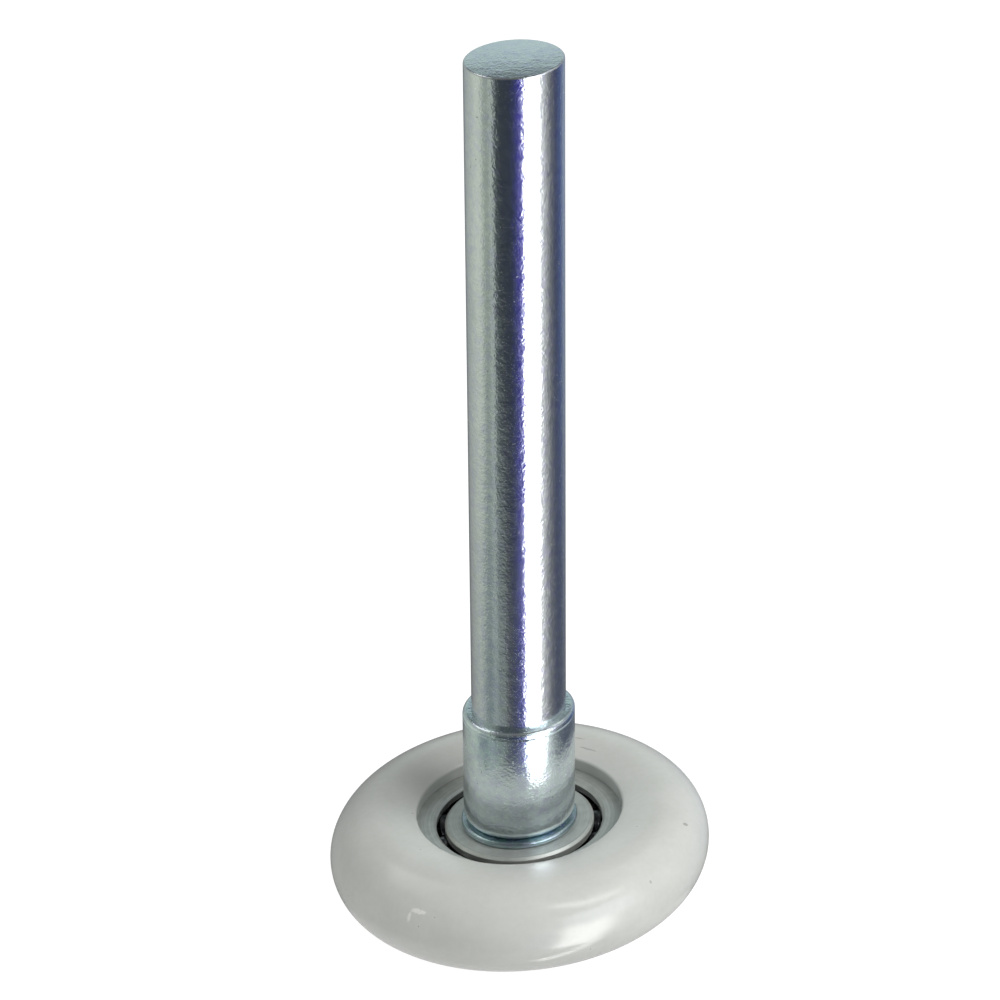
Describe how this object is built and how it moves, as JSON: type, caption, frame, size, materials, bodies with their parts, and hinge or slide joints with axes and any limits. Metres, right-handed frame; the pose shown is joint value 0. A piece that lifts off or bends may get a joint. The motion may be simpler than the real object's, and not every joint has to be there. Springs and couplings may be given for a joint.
{
  "type": "door track roller",
  "caption": "Round-edged nylon wheel on a ball bearing, on a long plain zinc-plated stem with a spacer sleeve, for a door that runs in a track.",
  "frame": {"origin": "on the axis, in the plane of the wheel's back face, which the roller stands on", "axes": "+Z along the stem from the wheel to the stem's tip; the roller is round about Z, so +X and +Y are free"},
  "size_m": [0.0448, 0.0448, 0.1059],
  "materials": {
    "zinc_plated_steel": "bright zinc plating, lightly mottled",
    "race_steel": "turned, bright chamfers",
    "ball_steel": "polished, lightly greased",
    "nylon": "glossy off-white moulded nylon"
  },
  "bodies": {
    "axle": {"stem": "zinc_plated_steel", "spacer_sleeve": "zinc_plated_steel", "front_washer": "zinc_plated_steel", "inner_race_front": "race_steel", "inner_race_back": "race_steel", "back_washer": "zinc_plated_steel"},
    "wheel": {"tyre": "nylon", "outer_race": "race_steel"},
    "ball_ring": {"ball_01": "ball_steel", "ball_02": "ball_steel", "ball_03": "ball_steel", "ball_04": "ball_steel", "ball_05": "ball_steel", "ball_06": "ball_steel", "ball_07": "ball_steel", "ball_08": "ball_steel", "ball_09": "ball_steel", "ball_10": "ball_steel", "ball_11": "ball_steel", "ball_12": "ball_steel"}
  },
  "joints": [
    {"name": "wheel_spin", "type": "hinge", "parent": "axle", "child": "wheel", "pos_m": [0, 0, 0.0057], "axis": [0, 0, 1], "continuous": true},
    {"name": "ball_orbit", "type": "hinge", "parent": "axle", "child": "ball_ring", "pos_m": [0, 0, 0.0057], "axis": [0, 0, 1], "continuous": true}
  ],
  "couplings": [
    {"joint": "ball_orbit", "follows": "wheel_spin", "ratio": 0.628}
  ]
}
